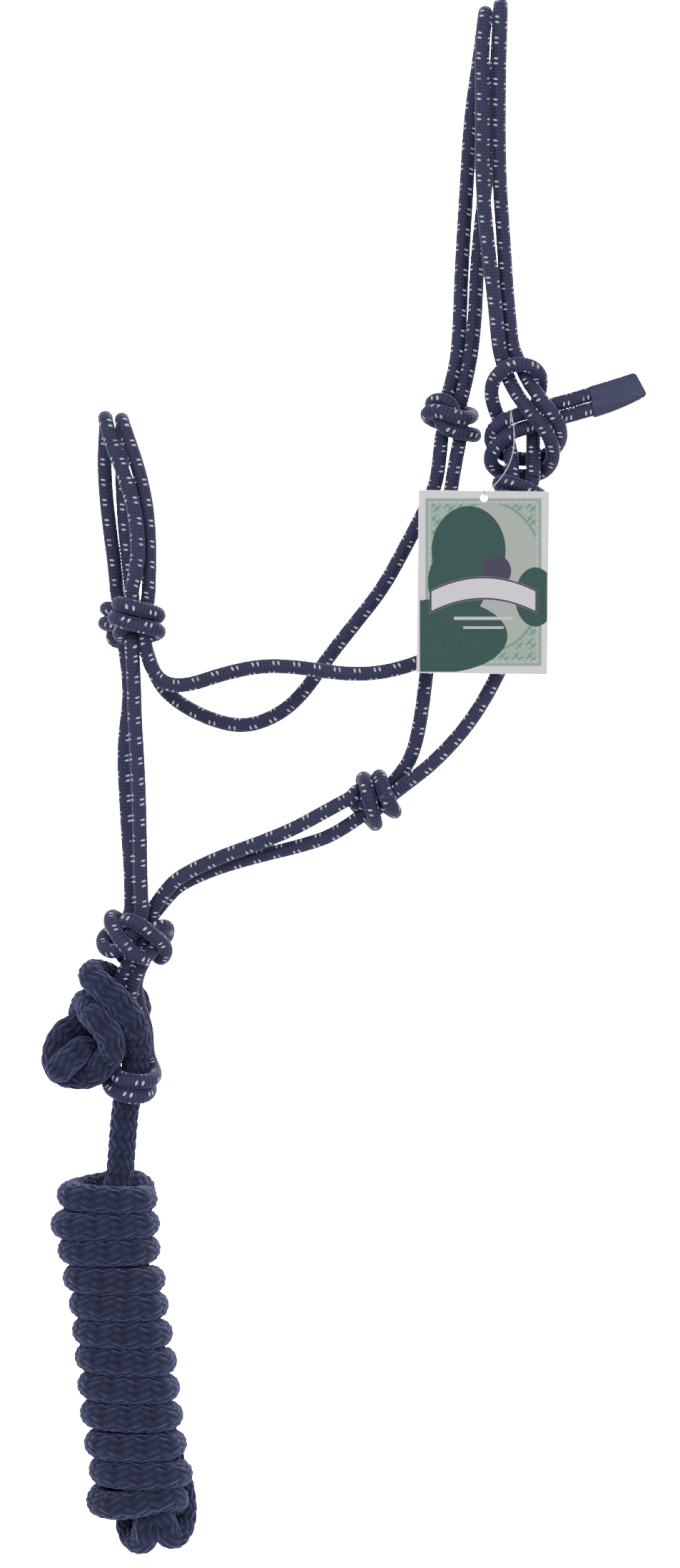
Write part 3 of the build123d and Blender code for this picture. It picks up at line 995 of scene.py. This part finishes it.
def sleeve_ring(t, shrink=1.0, back=0.0):
    """One ring of the sleeve, t of the way along: two-lobed at its start, pressed flat at its slanted end."""
    along = np.array([math.cos(TAIL_SLOPE), 0, math.sin(TAIL_SLOPE)])
    upward = np.array([-math.sin(TAIL_SLOPE), 0, math.cos(TAIL_SLOPE)])
    sideways = np.array([0, 1, 0])
    middle = 2.3 * t * t - 0.2
    half_width = 8.7 - 1.6 * t * t
    half_depth = 4.9 * (1 - t * t) + 2.2 * t * t
    corner = 1 - 0.16 * max(0, (t - 0.93) / 0.07) ** 2.5
    ring = []
    for i in range(SLEEVE_SIDES):
        angle = 2 * math.pi * i / SLEEVE_SIDES
        n = half_width * corner * math.copysign(abs(math.cos(angle)) ** 0.85, math.cos(angle))
        y = half_depth * math.copysign(abs(math.sin(angle)) ** 0.8, math.sin(angle))
        y *= 1 - 0.24 * (1 - t) * math.exp(-((n / 2.0) ** 2))
        slant = 0.116 * (1 - t) - 0.217 * t
        place = SLEEVE_START + SLEEVE_LENGTH * t + slant * n - back
        crease = 0.10 * math.sin(0.9 * place + 1.3 * n) * math.sin(0.37 * place - 0.8 * n)
        crease += 0.12 * t * math.sin(2.1 * n + 0.5 * math.sin(0.8 * place))
        y += math.copysign(crease, math.sin(angle)) * min(1, abs(math.sin(angle)) * 3)
        point = TAIL_FOOT + MM * (place * along + (middle + n * shrink) * upward + y * shrink * sideways)
        ring.append(point.tolist())
    return ring


def tail_sleeve():
    """A shrunk sleeve over the two tails."""
    rings = [sleeve_ring(0.0, 0.86, -1.5), sleeve_ring(0.0, 0.9, 0), sleeve_ring(0.0, 0.97, 0.25)]
    rings += [sleeve_ring(i / (SLEEVE_RINGS - 1)) for i in range(SLEEVE_RINGS)]
    rings += [sleeve_ring(1.0, 0.96, -0.2), sleeve_ring(1.0, 0.86, -0.15)]
    rings += [sleeve_ring(1.0, 0.72, 0.5), sleeve_ring(1.0, 0.3, 0.6)]
    vertices = [vertex for ring in rings for vertex in ring]
    sides = SLEEVE_SIDES
    faces = []
    for i in range(len(rings) - 1):
        for j in range(sides):
            k = (j + 1) % sides
            faces.append((i * sides + j, i * sides + k, (i + 1) * sides + k, (i + 1) * sides + j))
    faces.append(tuple(reversed(range(sides))))
    faces.append(tuple(range((len(rings) - 1) * sides, len(rings) * sides)))
    mesh = bpy.data.meshes.new("sleeve")
    mesh.from_pydata(vertices, [], faces)
    mesh.polygons.foreach_set("use_smooth", [True] * len(faces))
    mesh.update()
    add_piece("shrunk_sleeve", mesh, sleeve_material(), "crown_tail", ["tail_sleeve"])


tail_sleeve()

# ------------------------------------------------ tag and its string

STRING_ROUTE = [
    (9.2, -15, -213), (9.7, -17.5, -216.5), (10.9, -22, -225), (10.2, -26.5, -236.5), (6, -29.5, -247),
    (-1, -31.3, -255.2), (-5.0, -31.2, -258.4),
]


def no_relief(turns, along):
    return 0 * turns * along


THREAD_SIDES = 12


def thread(name, line, thickness, material, body, nodes=()):
    rope = Rope(line)
    mesh = rope_mesh(name, [rope], thickness, THREAD_SIDES, no_relief)
    return add_piece(name, mesh, material, body, nodes), rope


def circle(middle, one, other, radius, height):
    """A closed loop in the plane of two directions, one radius wide and one high."""
    turns = np.linspace(0, 2 * math.pi, 61)
    ring = np.outer(np.cos(turns) * radius, one) + np.outer(np.sin(turns) * height, other)
    return metres(np.array(middle) + ring)


def tag():
    """The card's print, and its string with a loop round a rope of the hitch and one in the card's hole."""
    material = string_material()
    fall = smooth_line(metres(STRING_ROUTE), 0.5 * MM)
    string, rope = thread("string_fall", fall, 0.75 * STRING, material, "tag_line", ["tag_string"])
    round_rope = circle((9.4, -10.6, -216.6), (0.1, 0.97, 0.2), (0, -0.2, 0.97), 5.0, 4.9)
    thread("string_round_rope", round_rope, 0.5 * MM, material, "halter")
    through_tag = circle((-5.7, -31.9, -258.6), (0.25, 0.97, 0), (-0.1, 0, 1), 1.0, 2.2)
    tag_loop, _ = thread("string_through_tag", through_tag, 0.4 * MM, material, "tag_line")
    tuple(rope.line[0])
    round(rope.length(), 3)
    card = bpy.data.objects["hang_tag"]
    card.data.materials.clear()
    card.data.materials.append(card_material())


tag()

# ------------------------------------------------ stage


FLOOR_LEVEL = -1.06
MIDDLE = (-0.084, 0, -0.4)  # what the lights point at


def studio_world():
    """An even light from all round, and a white background behind the object."""
    world = bpy.data.worlds.new("studio")
    bpy.context.scene.world = world
    world.use_nodes = True
    nodes, links = world.node_tree.nodes, world.node_tree.links
    light = nodes["Background"]
    light.inputs["Color"].default_value = (0.96, 0.96, 1, 1)
    light.inputs["Strength"].default_value = 1.5
    seen = nodes.new("ShaderNodeBackground")
    seen.inputs["Color"].default_value = (1, 1, 1, 1)
    seen.inputs["Strength"].default_value = 30.0
    ray, mix = nodes.new("ShaderNodeLightPath"), nodes.new("ShaderNodeMixShader")
    links.new(ray.outputs["Is Camera Ray"], mix.inputs[0])
    links.new(light.outputs[0], mix.inputs[1])
    links.new(seen.outputs[0], mix.inputs[2])
    links.new(mix.outputs[0], nodes["World Output"].inputs["Surface"])


def stage_floor():
    """A sheet of pale paper, below the camera's view."""
    mesh = bpy.data.meshes.new("floor")
    half = 0.9
    corners = [(-half, -half), (half, -half), (half, half), (-half, half)]
    mesh.from_pydata([(x, y, FLOOR_LEVEL) for x, y in corners], [], [(0, 1, 2, 3)])
    floor = bpy.data.objects.new("floor", mesh)
    bpy.context.scene.collection.objects.link(floor)
    paper = Surface("floor", Roughness=0.9)
    paper.set("Base Color", paper.blend(paper.noise(40, 3), (0.84, 0.84, 0.85), (0.88, 0.88, 0.89)))
    mesh.materials.append(paper.material)


def lamps():
    for name, place, size, power in (
        ("key", (-0.9, -1.6, 0.5), 0.9, 22),
        ("fill", (1.2, -1.4, -0.2), 1.0, 12),
        ("rim", (0.6, 1.2, 0.3), 1.0, 14),
    ):
        light = bpy.data.lights.new(name, "AREA")
        light.size = size
        light.energy = power
        lamp = bpy.data.objects.new(name, light)
        lamp.location = place
        aim = Vector(MIDDLE) - lamp.location
        lamp.rotation_euler = aim.to_track_quat("-Z", "Y").to_euler()
        bpy.context.scene.collection.objects.link(lamp)


def camera():
    """The photograph's view, straight on and from far enough for little perspective."""
    distance, view_height, sensor = 2.45, 0.8564, 24
    data = bpy.data.cameras.new("camera")
    eye = bpy.data.objects.new("camera", data)
    eye.location = (-0.08366, -distance, -0.4154)
    eye.rotation_euler = (math.pi / 2, 0, 0)
    data.sensor_fit = "VERTICAL"
    data.sensor_height = sensor
    data.lens = sensor * distance / view_height
    data.clip_end = 20
    bpy.context.scene.collection.objects.link(eye)
    bpy.context.scene.camera = eye


studio_world()
stage_floor()
lamps()
camera()
